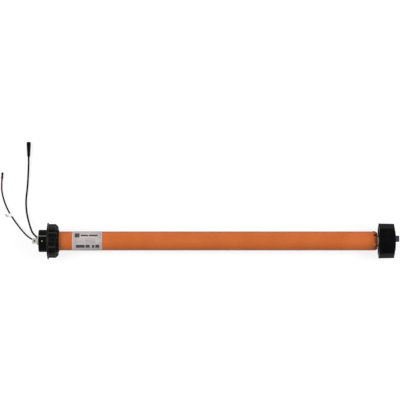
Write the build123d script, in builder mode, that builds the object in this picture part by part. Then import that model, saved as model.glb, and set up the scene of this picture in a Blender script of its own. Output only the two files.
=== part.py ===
from build123d import *
import math
import os

os.makedirs("parts", exist_ok=True)

# A tubular roller blind motor: a battery, a control board, a direct current motor and a planetary
# gearbox in a slim tube. The tube hangs from a square pin at its head. A free crown beside the head
# and a driven wheel at the far end carry the eight-sided shaft that the blind winds on.
# All lengths are in millimetres. The tube's axis runs along X, from the head to the drive wheel.
# The motor lies with a flat of the crown and of the wheel down. The head's key side, with the
# setting button, leans half a flat away from the vertical.

# Fits
running_gap = 0.05
seat_gap = 0.1
body_gap = 0.3
cut_over = 1.0

# Lengths along the axis that the outside shows
pin_reach = 12.0
head_length = 15.5
crown_length = 20.6
sleeve_reach = 1.7
tube_shown = 585.0
wheel_gap = 3.0
wheel_length = 28.5
hub_reach = 2.0
latch_reach = 7.0

# Eight-sided shaft of 60 mm across flats that the crown and the wheel fit
flats = 8
flat_turn = 360 / flats
roll = flat_turn / 2
crown_corner_radius = 31.2
flange_corner_radius = 33.4
wheel_corner_radius = 32.4
wheel_corner_rounding = 3.0
wheel_rim_radius = 32.7
seam_width = 10.0
seam_depth = 3.0

# Head
head_radius = 20.5
head_edge = 0.8
head_wall = 3.0
head_cavity_radius = 16.8
spigot_length = 30.0
spigot_wall = 2.8
key_flat_height = 18.6
key_flat_margin = 2.0
button_place = 7.2
button_radius = 1.5
button_gap = 0.2
button_travel = 0.8
button_stand = 0.5
button_collar_radius = 2.6
button_collar_thickness = 0.9
button_stem_radius = 1.0
switch_size = 6.0
switch_height = 3.4
shelf_thickness = 1.5
shelf_height = 9.2
shelf_length = 9.0

# Square pin and its plate
pin_size = 10.0
pin_edge = 1.0
pin_hole_radius = 1.6
pin_hole_place = 4.2
pin_hole_depth = 7.5
pin_flange_size = 15.0
pin_flange_thickness = 3.0
plate_width = 14.0
plate_height = 20.0
plate_thickness = 3.2
plate_corner = 2.0
screw_place = 7.5
screw_radius = 1.25
screw_head_radius = 2.1
screw_head_height = 1.3
screw_length = 6.0
screw_slot_width = 0.6
screw_slot_depth = 0.6

# Tube, its rolled end and its label
tube_radius = 17.5
tube_wall = 1.0
roll_length = 3.2
roll_depth = 2.0
notch_length = 7.4
notch_width = 4.2
notch_angle = 39.5
rivet_count = 3
rivet_place = 5.4
rivet_angle = -22.0
rivet_radius = 1.5
rivet_head_radius = 2.2
rivet_head_height = 0.6
rivet_length = 5.0
label_place = 24.0
label_length = 55.0
label_spread = 200.0
label_thickness = 0.15

# Crown and the bearing sleeve that it turns on
sleeve_wall = 1.5
crown_flange_thickness = 2.6
crown_wall = 2.4
crown_hub_wall = 2.2
crown_nose_length = 4.8
crown_nose_depth = 4.2
crown_rib_width = 1.8
crush_rib_height = 0.6
crush_rib_width = 1.6
clip_thickness = 1.0
clip_groove_depth = 0.6
clip_reach = 1.3
clip_opening = 5.0

# Drive wheel and its latch
wheel_taper = 1.0
wheel_pocket_radius = 22.6
wheel_rim_length = 2.0
wheel_web = 5.0
wheel_hub_radius = 14.0
wheel_disc_radius = 19.8
wheel_rib_width = 2.0
wheel_seam_angle = -112.5
wheel_edge = 0.8
latch_width = 11.4
latch_thickness = 3.0
latch_depth = 16.0
latch_side = 4.1
latch_lift = 6.0
latch_corner = 1.6
latch_grip_depth = 0.5
latch_grip_width = 1.0
latch_grips = 3

# Output shaft and the cap that closes the gearbox
shaft_size = 10.0
shaft_end_gap = 3.0
journal_radius = 7.5
bush_wall = 1.8
bush_flange_radius = 11.0
bush_flange_thickness = 1.2
cap_length = 26.0

# Planetary gears: one ring, three stages of three planets each
gear_module = 0.5
sun_teeth = 12
planet_teeth = 21
ring_teeth = sun_teeth + 2 * planet_teeth
planets_per_stage = 3
pressure_angle = 20.0
addendum_share = 0.8
dedendum_share = 1.1
tooth_relief = 0.1
planet_widths = (7.0, 8.0, 10.0)
planet_pin_radii = (1.0, 1.25, 1.5)
carrier_thicknesses = (2.5, 3.0, 4.0)
carrier_radius = 12.4
stage_gap = 0.35

# Motor and brake
plate_disc_thickness = 7.0
brake_cup_depth = 4.4
brake_cup_radius = 11.0
brake_disc_radius = 10.2
brake_disc_thickness = 1.5
brake_pad_thickness = 1.8
brake_pad_radius = 6.5
pinion_hole_radius = 4.2
can_radius = 14.5
can_wall = 1.2
can_length = 52.0
can_face = 2.0
motor_shaft_radius = 1.5
bearing_radius = 3.5
bearing_length = 3.0
magnet_inner_radius = 10.7
magnet_spread = 140.0
magnet_length = 34.0
armature_radius = 10.1
armature_length = 28.0
armature_place = 12.0
armature_poles = 3
slot_width = 2.2
slot_depth = 5.5
winding_radius = 8.6
winding_overhang = 2.5
commutator_radius = 4.2
commutator_length = 6.0
commutator_slit = 0.5
brush_width = 3.0
brush_thickness = 4.0
brush_outer_radius = 9.5
end_bell_length = 8.0
damper_width = 6.0
motor_screw_place = 8.5
motor_screw_radius = 1.25

# Battery
cell_count = 3
cell_radius = 9.2
cell_length = 65.0
cell_cap_radius = 4.0
cell_cap_height = 0.8
pack_wrap = 0.3
tab_thickness = 0.2
tab_width = 7.0
foam_width = 12.0
foam_count = 4
foam_notch_width = 7.0

# Control board and its carrier
carrier_margin = 4.0
carrier_wall = 1.8
carrier_ledge = 2.2
board_width = 26.0
board_thickness = 1.6
board_length = 114.0
board_drop = 5.0

# Spaces between the main groups inside the tube
board_place = 32.0
battery_place = 12.0

# Wires inside the tube
wire_radius = 0.8
wire_height = 12.6
wire_side = 1.6
wire_run = 14.0

# Leads outside
power_radius = 1.7
antenna_radius = 1.25
gland_plug_radius = 2.4
gland_length = 6.0
gland_drop = -13.2
power_gland_side = 4.6
antenna_gland_side = -2.0
power_gland_turn = 60.0
antenna_gland_turn = 23.6
antenna_plug_radius = 2.0

# Places along the axis, counted from the middle of the motor
overall_length = (pin_reach + head_length + crown_length + sleeve_reach + tube_shown + wheel_gap
                  + wheel_length + hub_reach + latch_reach)
x_tip = -overall_length / 2
x_head = x_tip + pin_reach
x_crown = x_head + head_length
x_crown_end = x_crown + crown_length
x_sleeve_end = x_crown_end + sleeve_reach
x_tube_end = x_sleeve_end + tube_shown
x_wheel = x_tube_end + wheel_gap
x_wheel_end = x_wheel + wheel_length
x_hub_end = x_wheel_end + hub_reach

# Across the axis
half_flat_share = math.cos(math.radians(roll))
axis_height = flange_corner_radius * half_flat_share
tube_bore_radius = tube_radius - tube_wall
core_radius = tube_bore_radius - seat_gap
spigot_radius = core_radius
spigot_bore_radius = spigot_radius - spigot_wall
sleeve_bore_radius = tube_radius + seat_gap
sleeve_radius = sleeve_bore_radius + sleeve_wall
crown_apothem = crown_corner_radius * half_flat_share
wheel_apothem = wheel_corner_radius * half_flat_share

tube_axis = Axis((0, 0, axis_height), (1, 0, 0))


def direction(angle):
    """The way out from the axis, at an angle counted from the key side towards the lead side."""
    lean = math.radians(angle - roll)
    return Vector(0, math.sin(lean), math.cos(lean))


def across(x):
    """The plane square to the axis at x: its first axis is the lead side, its second the key side."""
    return Plane(origin=(x, 0, axis_height), x_dir=direction(90), z_dir=(1, 0, 0))


def axial(angle):
    """A plane through the axis: its first axis runs along the tube, its second out at the angle."""
    out = direction(angle)
    return Plane(origin=(0, 0, axis_height), x_dir=(1, 0, 0), z_dir=(0, -out.Z, out.Y))


def facing(x, angle, reach):
    """The plane that faces out at an angle, at a distance from the axis."""
    out = direction(angle)
    return Plane(origin=Vector(x, 0, axis_height) + out * reach, x_dir=(1, 0, 0), z_dir=out)


def place(x, side, key):
    """A point at x, given by its distances from the axis to the lead side and the key side."""
    return Vector(x, 0, axis_height) + direction(90) * side + direction(0) * key


def half_outline(*points):
    """The half outline of a turned piece, from its (x, radius) points."""
    with BuildSketch() as outline:
        with BuildLine():
            Polyline(*points, close=True)
        make_face()
    return outline.sketch


def ring_outline(start, end, inner, outer):
    """The half outline of a plain ring."""
    return half_outline((start, inner), (end, inner), (end, outer), (start, outer))


# Head housing: a hollow cap with a flat on its key side, and a spigot that the tube is pushed on
x_spigot_end = x_crown + spigot_length
with BuildPart() as head_housing:
    with BuildSketch(axial(0)):
        add(half_outline(
            (x_head, 0), (x_spigot_end, 0), (x_spigot_end, spigot_radius), (x_crown, spigot_radius),
            (x_crown, head_radius), (x_head + head_edge, head_radius), (x_head, head_radius - head_edge)))
    revolve(axis=tube_axis)
    with BuildSketch(axial(0)):
        add(half_outline(
            (x_head + head_wall, 0), (x_spigot_end + cut_over, 0),
            (x_spigot_end + cut_over, spigot_bore_radius), (x_crown - head_edge, spigot_bore_radius),
            (x_crown - head_wall, head_cavity_radius), (x_head + head_wall, head_cavity_radius)))
    revolve(axis=tube_axis, mode=Mode.SUBTRACT)
    with BuildSketch(across(x_head + head_wall)):
        Circle(head_cavity_radius + seat_gap)
        with Locations((0, shelf_height - shelf_thickness / 2)):
            Rectangle(2 * head_radius, shelf_thickness, mode=Mode.INTERSECT)
    extrude(amount=shelf_length)
    with BuildSketch(facing(x_head + head_length / 2, 0, key_flat_height)):
        Rectangle(head_length - 2 * key_flat_margin, 2 * head_radius)
    extrude(amount=head_radius, mode=Mode.SUBTRACT)
    with BuildSketch(facing(x_head + button_place, 0, shelf_height + switch_height)):
        Circle(button_radius + button_gap)
    extrude(amount=head_radius, mode=Mode.SUBTRACT)
    with BuildSketch(across(x_head - cut_over)):
        Rectangle(pin_size + 2 * seat_gap, pin_size + 2 * seat_gap)
        with Locations((0, screw_place), (0, -screw_place)):
            Circle(screw_radius + seat_gap)
        with Locations((power_gland_side, gland_drop)):
            Circle(gland_plug_radius + seat_gap)
        with Locations((antenna_gland_side, gland_drop)):
            Circle(antenna_plug_radius + seat_gap)
    extrude(amount=head_wall + 2 * cut_over, mode=Mode.SUBTRACT)
head_housing.part.label = "head_housing"

# Square pin: it passes out through the end wall, and its flange inside holds it
with BuildPart() as square_pin:
    with BuildSketch(across(x_tip)):
        Rectangle(pin_size, pin_size)
    extrude(amount=pin_reach + head_wall)
    chamfer(faces().sort_by(Axis.X)[0].edges(), pin_edge)
    with BuildSketch(across(x_head + head_wall)):
        Rectangle(pin_flange_size, pin_flange_size)
    extrude(amount=pin_flange_thickness)
    with BuildSketch(facing(x_tip + pin_hole_place, 0, pin_size / 2)):
        Circle(pin_hole_radius)
    extrude(amount=-pin_hole_depth, mode=Mode.SUBTRACT)
square_pin.part.label = "square_pin"

# Plate round the pin, held by two countersunk screws
with BuildPart() as pin_plate:
    with BuildSketch(across(x_head - plate_thickness)):
        RectangleRounded(plate_width, plate_height, plate_corner)
        Rectangle(pin_size + 2 * seat_gap, pin_size + 2 * seat_gap, mode=Mode.SUBTRACT)
    extrude(amount=plate_thickness)
    with Locations(across(x_head - plate_thickness)):
        with Locations((0, screw_place, 0), (0, -screw_place, 0)):
            Cylinder(screw_radius + seat_gap, plate_thickness, mode=Mode.SUBTRACT,
                     align=(Align.CENTER, Align.CENTER, Align.MIN))
            Cone(screw_head_radius + seat_gap, screw_radius + seat_gap, screw_head_height,
                 mode=Mode.SUBTRACT, align=(Align.CENTER, Align.CENTER, Align.MIN))
pin_plate.part.label = "pin_plate"

with BuildPart() as head_screws:
    with Locations(across(x_head - plate_thickness)):
        with Locations((0, screw_place, 0), (0, -screw_place, 0)):
            Cylinder(screw_radius, screw_length, align=(Align.CENTER, Align.CENTER, Align.MIN))
            Cone(screw_head_radius, screw_radius, screw_head_height,
                 align=(Align.CENTER, Align.CENTER, Align.MIN))
            Box(2 * screw_head_radius, screw_slot_width, screw_slot_depth, mode=Mode.SUBTRACT,
                align=(Align.CENTER, Align.CENTER, Align.MIN))
head_screws.part.label = "head_screws"

# Setting button: its collar lies under the flat, and its stem reaches for the switch
button_top = key_flat_height + button_stand
button_collar_top = math.sqrt(head_cavity_radius ** 2 - button_collar_radius ** 2) - seat_gap
with BuildPart() as setting_button:
    with BuildSketch(facing(x_head + button_place, 0, button_collar_top - button_collar_thickness)):
        Circle(button_radius)
    extrude(amount=button_top - button_collar_top + button_collar_thickness)
    fillet(faces().sort_by(Axis(Vector(0, 0, 0), direction(0)))[-1].edges(), button_stand)
    with BuildSketch(facing(x_head + button_place, 0, button_collar_top - button_collar_thickness)):
        Circle(button_collar_radius)
    extrude(amount=button_collar_thickness)
    with BuildSketch(facing(x_head + button_place, 0, shelf_height + switch_height + button_travel
                            + seat_gap)):
        Circle(button_stem_radius)
    extrude(amount=button_collar_top - shelf_height - switch_height - button_travel - seat_gap)
setting_button.part.label = "setting_button"

with BuildPart() as button_switch:
    with BuildSketch(facing(x_head + button_place, 0, shelf_height)):
        Rectangle(switch_size, switch_size)
    extrude(amount=switch_height)
button_switch.part.label = "button_switch"


def gland(side, plug_radius, tip_radius, turn):
    """A moulded cable gland: a plug in the end wall, an elbow, and a sleeve that tapers outwards."""
    elbow = place(x_head - plug_radius, side, gland_drop)
    way = Vector(-math.cos(math.radians(turn)), math.sin(math.radians(turn)), 0)
    with BuildPart() as piece:
        with BuildSketch(across(elbow.X)):
            with Locations((side, gland_drop)):
                Circle(plug_radius)
        extrude(amount=plug_radius + head_wall)
        with Locations(elbow):
            Sphere(plug_radius)
        with BuildSketch(Plane(origin=elbow, z_dir=way)):
            Circle(plug_radius)
        with BuildSketch(Plane(origin=elbow + way * gland_length, z_dir=way)):
            Circle(tip_radius)
        loft()
    return piece, elbow + way * gland_length, way


power_gland, power_exit, power_way = gland(
    power_gland_side, gland_plug_radius, power_radius + seat_gap, power_gland_turn)
power_gland.part.label = "power_gland"
antenna_gland, antenna_exit, antenna_way = gland(
    antenna_gland_side, antenna_plug_radius, antenna_radius + seat_gap, antenna_gland_turn)
antenna_gland.part.label = "antenna_gland"

# Motor tube: its far end is rolled in, notched for the gearbox cap's key and drilled for rivets
with BuildPart() as motor_tube:
    with BuildSketch(axial(0)):
        add(half_outline(
            (x_crown, tube_bore_radius), (x_crown, tube_radius), (x_tube_end - roll_length, tube_radius),
            (x_tube_end, tube_radius - roll_depth), (x_tube_end, tube_bore_radius - roll_depth),
            (x_tube_end - roll_length, tube_bore_radius)))
    revolve(axis=tube_axis)
    with BuildSketch(facing(x_tube_end - notch_length / 2 + cut_over / 2, notch_angle, 0)):
        SlotOverall(notch_length + cut_over + notch_width, notch_width)
        with Locations((-notch_length / 2 - cut_over / 2, 0)):
            Rectangle(notch_width, 2 * notch_width, align=(Align.MAX, Align.CENTER), mode=Mode.SUBTRACT)
    extrude(amount=tube_radius + cut_over, mode=Mode.SUBTRACT)
    for step in range(rivet_count):
        with BuildSketch(facing(x_tube_end - rivet_place, rivet_angle + step * 360 / rivet_count, 0)):
            Circle(rivet_radius + seat_gap)
        extrude(amount=tube_radius + cut_over, mode=Mode.SUBTRACT)
motor_tube.part.label = "motor_tube"

# Label: a foil wrapped round the tube's key side
x_label = x_sleeve_end + label_place
with BuildPart() as rating_label:
    with BuildSketch(axial(label_spread / 2)):
        add(ring_outline(x_label, x_label + label_length, tube_radius + running_gap,
                         tube_radius + running_gap + label_thickness))
    revolve(axis=tube_axis, revolution_arc=label_spread)
rating_label.part.label = "rating_label"

# Bearing sleeve that the crown turns on, with a groove for its clip
x_clip = x_crown_end + body_gap
with BuildPart() as crown_bearing:
    with BuildSketch(axial(0)):
        add(half_outline(
            (x_crown, sleeve_bore_radius), (x_sleeve_end, sleeve_bore_radius),
            (x_sleeve_end, sleeve_radius), (x_clip + clip_thickness, sleeve_radius),
            (x_clip + clip_thickness, sleeve_radius - clip_groove_depth),
            (x_clip, sleeve_radius - clip_groove_depth), (x_clip, sleeve_radius),
            (x_crown, sleeve_radius)))
    revolve(axis=tube_axis)
crown_bearing.part.label = "crown_bearing"

with BuildPart() as crown_clip:
    with BuildSketch(across(x_clip)):
        Circle(sleeve_radius + clip_reach)
        Circle(sleeve_radius - clip_groove_depth, mode=Mode.SUBTRACT)
        with Locations((0, -sleeve_radius)):
            Rectangle(clip_opening, sleeve_radius, mode=Mode.SUBTRACT)
    extrude(amount=clip_thickness)
crown_clip.part.label = "crown_clip"

# Crown: a flanged eight-sided ring with a ribbed hollow, a groove for the shaft's folded seam and
# a crush rib on each other flat
crown_bore_radius = sleeve_radius + running_gap
crown_hub_radius = crown_bore_radius + crown_hub_wall
x_crown_face = x_crown + body_gap
x_crown_body = x_crown_face + crown_flange_thickness
with BuildPart() as crown_ring:
    with BuildSketch(across(x_crown_body)):
        RegularPolygon(radius=crown_corner_radius, side_count=flats)
    extrude(amount=x_crown_end - x_crown_body)
    chamfer(faces().sort_by(Axis.X)[-1].edges(), length=crown_nose_depth, length2=crown_nose_length,
            reference=faces().sort_by(Axis.X)[-1])
    with BuildSketch(across(x_crown_body)):
        with PolarLocations(crown_apothem, flats, start_angle=roll):
            Rectangle(2 * crush_rib_height, crush_rib_width)
    extrude(amount=x_crown_end - x_crown_body - crown_nose_length)
    with BuildSketch(across(x_crown_body)):
        with PolarLocations(crown_apothem, 1, start_angle=90 - roll):
            Rectangle(2 * seam_depth, seam_width)
    extrude(amount=crown_length, mode=Mode.SUBTRACT)
    with BuildSketch(across(x_crown_face)):
        RegularPolygon(radius=flange_corner_radius, side_count=flats)
    extrude(amount=crown_flange_thickness)
    with BuildSketch(across(x_crown_face)):
        RegularPolygon(radius=crown_corner_radius - crown_wall / half_flat_share, side_count=flats)
        Circle(crown_hub_radius, mode=Mode.SUBTRACT)
        with PolarLocations(0, flats, start_angle=0):
            Rectangle(crown_corner_radius, crown_rib_width, align=(Align.MIN, Align.CENTER),
                      mode=Mode.SUBTRACT)
        with PolarLocations(crown_apothem, 1, start_angle=90 - roll):
            Rectangle(2 * (seam_depth + crown_wall), seam_width + 2 * crown_wall, mode=Mode.SUBTRACT)
    extrude(amount=x_crown_end - x_crown_face - crown_nose_length - crown_wall, mode=Mode.SUBTRACT)
    with BuildSketch(across(x_crown_face)):
        Circle(crown_bore_radius)
    extrude(amount=crown_length, mode=Mode.SUBTRACT)
crown_ring.part.label = "crown_ring"

# Drive wheel: an eight-sided wheel with rounded corners and a rim towards the tube, hollow and
# ribbed behind a closed outer web, with a square bore
with BuildPart() as drive_wheel:
    with BuildSketch(across(x_wheel)):
        RegularPolygon(radius=wheel_corner_radius, side_count=flats)
        fillet(vertices(), wheel_corner_rounding)
    extrude(amount=wheel_length, taper=wheel_taper)
    chamfer(faces().sort_by(Axis.X)[-1].edges(), wheel_edge)
    with BuildSketch(across(x_wheel)):
        RegularPolygon(radius=wheel_rim_radius, side_count=flats)
        fillet(vertices(), wheel_corner_rounding)
    extrude(amount=wheel_rim_length)
    with BuildSketch(across(x_wheel)):
        with PolarLocations(wheel_apothem, 1, start_angle=90 - wheel_seam_angle):
            Rectangle(2 * seam_depth, seam_width)
    extrude(amount=wheel_length + cut_over, mode=Mode.SUBTRACT)
    with BuildSketch(across(x_wheel)):
        Circle(wheel_pocket_radius)
        Circle(wheel_hub_radius, mode=Mode.SUBTRACT)
        with PolarLocations(0, flats, start_angle=0):
            Rectangle(wheel_corner_radius, wheel_rib_width, align=(Align.MIN, Align.CENTER),
                      mode=Mode.SUBTRACT)
    extrude(amount=wheel_length - wheel_web, mode=Mode.SUBTRACT)
    with BuildSketch(across(x_wheel_end)):
        Circle(wheel_disc_radius)
    extrude(amount=hub_reach)
    chamfer(faces().sort_by(Axis.X)[-1].edges(), wheel_edge)
    with BuildSketch(across(x_wheel)):
        Rectangle(shaft_size + 2 * seat_gap, shaft_size + 2 * seat_gap)
    extrude(amount=wheel_length - shaft_end_gap + seat_gap, mode=Mode.SUBTRACT)
    with BuildSketch(across(x_hub_end - latch_depth - seat_gap)):
        with Locations((latch_side, latch_lift + latch_thickness / 2)):
            Rectangle(latch_width + 2 * seat_gap, latch_thickness + 2 * seat_gap)
    extrude(amount=latch_depth + seat_gap, mode=Mode.SUBTRACT)
drive_wheel.part.label = "drive_wheel"

# Latch: a key in a slot beside the shaft, pulled out by its tab to free the wheel
with BuildPart() as wheel_latch:
    with BuildSketch(Plane(origin=place(x_hub_end - latch_depth, latch_side, latch_lift),
                           x_dir=(1, 0, 0), z_dir=direction(0))):
        Rectangle(latch_depth + latch_reach, latch_width, align=(Align.MIN, Align.CENTER))
    extrude(amount=latch_thickness)
    fillet(edges().filter_by(Axis(Vector(0, 0, 0), direction(0))).group_by(Axis.X)[-1], latch_corner)
    with BuildSketch(Plane(origin=place(x_hub_end + latch_reach / 2, latch_side,
                                        latch_lift + latch_thickness),
                           x_dir=(1, 0, 0), z_dir=direction(0))):
        with GridLocations(2 * latch_grip_width, 0, latch_grips, 1):
            Rectangle(latch_grip_width, latch_width - 2 * latch_corner)
    extrude(amount=-latch_grip_depth, mode=Mode.SUBTRACT)
wheel_latch.part.label = "wheel_latch"

# Gearbox: places of its stages, from the motor's side to the cap
pitch_radii = [gear_module * teeth / 2 for teeth in (sun_teeth, planet_teeth, ring_teeth)]
orbit_radius = pitch_radii[0] + pitch_radii[1]
x_cap = x_tube_end - cap_length
ring_length = sum(planet_widths) + sum(carrier_thicknesses) + 2 * planets_per_stage * stage_gap
x_ring = x_cap - ring_length
x_planets = []
x_carriers = []
x_next = x_ring + stage_gap
for width, thickness in zip(planet_widths, carrier_thicknesses):
    x_planets.append(x_next)
    x_carriers.append(x_next + width + stage_gap)
    x_next = x_next + width + thickness + 2 * stage_gap


def involute(radius, base_radius):
    """The angle that an involute has swept at a radius, in radians."""
    turned = math.acos(min(base_radius / radius, 1))
    return math.tan(turned) - turned


def gear_outline(teeth, inner=False):
    """The corner points of a gear's teeth. An inner gear's teeth grow wider outwards."""
    pitch_radius = gear_module * teeth / 2
    base_radius = pitch_radius * math.cos(math.radians(pressure_angle))
    way = -1 if inner else 1
    root_radius = pitch_radius - way * dedendum_share * gear_module
    tip_radius = pitch_radius + way * addendum_share * gear_module
    half_tooth = (math.pi * gear_module / 2 - tooth_relief) / (2 * pitch_radius)
    flank = []
    for radius in (root_radius, (root_radius + pitch_radius) / 2, pitch_radius,
                   (pitch_radius + tip_radius) / 2, tip_radius):
        swept = involute(pitch_radius, base_radius) - involute(radius, base_radius)
        flank.append((radius, half_tooth + way * swept))
    points = []
    for tooth in range(teeth):
        middle = 2 * math.pi * tooth / teeth
        for radius, half in flank:
            points.append((radius * math.cos(middle - half), radius * math.sin(middle - half)))
        for radius, half in reversed(flank):
            points.append((radius * math.cos(middle + half), radius * math.sin(middle + half)))
    return points


with BuildPart() as ring_gear:
    with BuildSketch(across(x_ring)):
        Circle(core_radius)
        Polygon(*gear_outline(ring_teeth, inner=True), rotation=180 / ring_teeth, align=None,
                mode=Mode.SUBTRACT)
    extrude(amount=ring_length)
ring_gear.part.label = "ring_gear"

planets = []
for stage, letter in ((0, "a"), (1, "b"), (2, "c")):
    for number in range(planets_per_stage):
        orbit = 360 * number / planets_per_stage
        spin = orbit * (1 + sun_teeth / planet_teeth) + 180 - 180 / planet_teeth
        centre = (orbit_radius * math.cos(math.radians(orbit)),
                  orbit_radius * math.sin(math.radians(orbit)))
        with BuildPart() as planet:
            with BuildSketch(across(x_planets[stage])):
                with Locations(centre):
                    Polygon(*gear_outline(planet_teeth), rotation=spin, align=None)
                    Circle(planet_pin_radii[stage] + running_gap, mode=Mode.SUBTRACT)
            extrude(amount=planet_widths[stage])
        planet.part.label = f"planet_{letter}{number + 1}"
        planets.append(planet)

# The first two carriers each hold the next stage's sun gear
carriers = []
for stage in (0, 1):
    with BuildPart() as carrier:
        with BuildSketch(across(x_carriers[stage])):
            Circle(carrier_radius)
        extrude(amount=carrier_thicknesses[stage])
        with BuildSketch(across(x_planets[stage])):
            with PolarLocations(orbit_radius, planets_per_stage):
                Circle(planet_pin_radii[stage])
        extrude(amount=planet_widths[stage] + stage_gap)
        with BuildSketch(across(x_carriers[stage] + carrier_thicknesses[stage])):
            Polygon(*gear_outline(sun_teeth), align=None)
        extrude(amount=stage_gap + planet_widths[stage + 1])
    carrier.part.label = f"carrier_{stage + 1}"
    carriers.append(carrier)

# Output shaft: the third carrier, its journal and the square end that drives the wheel
x_journal = x_carriers[2] + carrier_thicknesses[2]
x_square = x_tube_end + wheel_gap / 2
with BuildPart() as output_shaft:
    with BuildSketch(across(x_carriers[2])):
        Circle(carrier_radius)
    extrude(amount=carrier_thicknesses[2])
    with BuildSketch(across(x_planets[2])):
        with PolarLocations(orbit_radius, planets_per_stage):
            Circle(planet_pin_radii[2])
    extrude(amount=planet_widths[2] + stage_gap)
    with BuildSketch(across(x_journal)):
        Circle(journal_radius)
    extrude(amount=x_square - x_journal)
    with BuildSketch(across(x_square)):
        Rectangle(shaft_size, shaft_size)
    extrude(amount=x_wheel_end - shaft_end_gap - x_square)
    chamfer(faces().sort_by(Axis.X)[-1].edges(), head_edge)
output_shaft.part.label = "output_shaft"

# Flanged bush for the output journal
bush_radius = journal_radius + running_gap + bush_wall
with BuildPart() as output_bush:
    with BuildSketch(axial(0)):
        add(half_outline(
            (x_cap, journal_radius + running_gap), (x_tube_end, journal_radius + running_gap),
            (x_tube_end, bush_radius), (x_cap + bush_flange_thickness, bush_radius),
            (x_cap + bush_flange_thickness, bush_flange_radius), (x_cap, bush_flange_radius)))
    revolve(axis=tube_axis)
output_bush.part.label = "output_bush"

# Gearbox cap: it fills the tube's end, and its key fills the notch
with BuildPart() as gearbox_cap:
    with BuildSketch(axial(0)):
        add(half_outline(
            (x_cap, bush_flange_radius + seat_gap), (x_cap + bush_flange_thickness + seat_gap,
                                                     bush_flange_radius + seat_gap),
            (x_cap + bush_flange_thickness + seat_gap, bush_radius + seat_gap),
            (x_tube_end, bush_radius + seat_gap), (x_tube_end, core_radius - roll_depth),
            (x_tube_end - roll_length, core_radius), (x_cap, core_radius)))
    revolve(axis=tube_axis)
    with BuildSketch(facing(x_tube_end - notch_length / 2, notch_angle, bush_radius + bush_wall)):
        Rectangle(notch_length - notch_width, notch_width - 2 * seat_gap)
    extrude(amount=tube_radius - roll_depth - bush_radius - bush_wall)
    for step in range(rivet_count):
        with BuildSketch(facing(x_tube_end - rivet_place, rivet_angle + step * 360 / rivet_count,
                                tube_radius - rivet_length - seat_gap)):
            Circle(rivet_radius + seat_gap)
        extrude(amount=rivet_length, mode=Mode.SUBTRACT)
gearbox_cap.part.label = "gearbox_cap"

with BuildPart() as end_rivets:
    for step in range(rivet_count):
        with BuildSketch(facing(x_tube_end - rivet_place, rivet_angle + step * 360 / rivet_count,
                                tube_radius - rivet_length)):
            Circle(rivet_radius)
        extrude(amount=rivet_length)
        with BuildSketch(facing(x_tube_end - rivet_place, rivet_angle + step * 360 / rivet_count,
                                tube_radius)):
            Circle(rivet_head_radius)
        extrude(amount=rivet_head_height)
end_rivets.part.label = "end_rivets"

# Motor plate: it closes the gearbox, and its cup holds the brake
x_plate = x_ring - plate_disc_thickness
x_can = x_plate - can_length
with BuildPart() as motor_plate:
    with BuildSketch(across(x_plate)):
        Circle(core_radius)
        Circle(pinion_hole_radius, mode=Mode.SUBTRACT)
        with Locations((motor_screw_place, motor_screw_place), (-motor_screw_place, -motor_screw_place)):
            Circle(motor_screw_radius + seat_gap, mode=Mode.SUBTRACT)
    extrude(amount=plate_disc_thickness)
    with BuildSketch(across(x_plate)):
        Circle(brake_cup_radius)
    extrude(amount=brake_cup_depth, mode=Mode.SUBTRACT)
motor_plate.part.label = "motor_plate"

with BuildPart() as brake_pad:
    with BuildSketch(across(x_plate + brake_cup_depth - brake_pad_thickness)):
        Circle(brake_cup_radius - seat_gap)
        Circle(brake_pad_radius, mode=Mode.SUBTRACT)
    extrude(amount=brake_pad_thickness)
brake_pad.part.label = "brake_pad"

x_brake_disc = x_plate + brake_cup_depth - brake_pad_thickness - seat_gap - brake_disc_thickness
with BuildPart() as brake_disc:
    with BuildSketch(across(x_brake_disc)):
        Circle(brake_disc_radius)
        Circle(motor_shaft_radius, mode=Mode.SUBTRACT)
    extrude(amount=brake_disc_thickness)
brake_disc.part.label = "brake_disc"

# Motor can: a drawn steel cup with its face towards the gearbox
can_bore_radius = can_radius - can_wall
with BuildPart() as motor_can:
    with BuildSketch(axial(0)):
        add(half_outline(
            (x_can, can_bore_radius), (x_plate - can_face, can_bore_radius),
            (x_plate - can_face, bearing_radius + seat_gap), (x_plate, bearing_radius + seat_gap),
            (x_plate, can_radius), (x_can, can_radius)))
    revolve(axis=tube_axis)
motor_can.part.label = "motor_can"

x_front_bearing = x_plate - bearing_length
x_bell = x_can - can_face
with BuildPart() as motor_bearings:
    for start in (x_bell, x_front_bearing):
        with BuildSketch(across(start)):
            Circle(bearing_radius)
            Circle(motor_shaft_radius + running_gap, mode=Mode.SUBTRACT)
        extrude(amount=bearing_length)
motor_bearings.part.label = "motor_bearings"

# End bell: a moulded lid with two brush boxes
with BuildPart() as motor_end_bell:
    with BuildSketch(axial(0)):
        add(half_outline(
            (x_bell, bearing_radius + seat_gap), (x_can + bearing_length, bearing_radius + seat_gap),
            (x_can + bearing_length, can_bore_radius - seat_gap), (x_can, can_bore_radius - seat_gap),
            (x_can, can_radius), (x_bell, can_radius)))
    revolve(axis=tube_axis)
    with BuildSketch(across(x_can + bearing_length)):
        with Locations((brush_outer_radius + brush_width / 2, 0), (-brush_outer_radius - brush_width / 2, 0)):
            Rectangle(brush_width, 2 * brush_width)
    extrude(amount=end_bell_length - bearing_length)
motor_end_bell.part.label = "motor_end_bell"

x_brush = x_can + bearing_length
with BuildPart() as motor_brushes:
    with BuildSketch(across(x_brush)):
        for side in (-1, 1):
            middle = side * (commutator_radius + seat_gap + brush_outer_radius) / 2
            with Locations((middle, 0)):
                Rectangle(brush_outer_radius - commutator_radius - seat_gap, brush_width)
    extrude(amount=brush_thickness)
motor_brushes.part.label = "motor_brushes"

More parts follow.
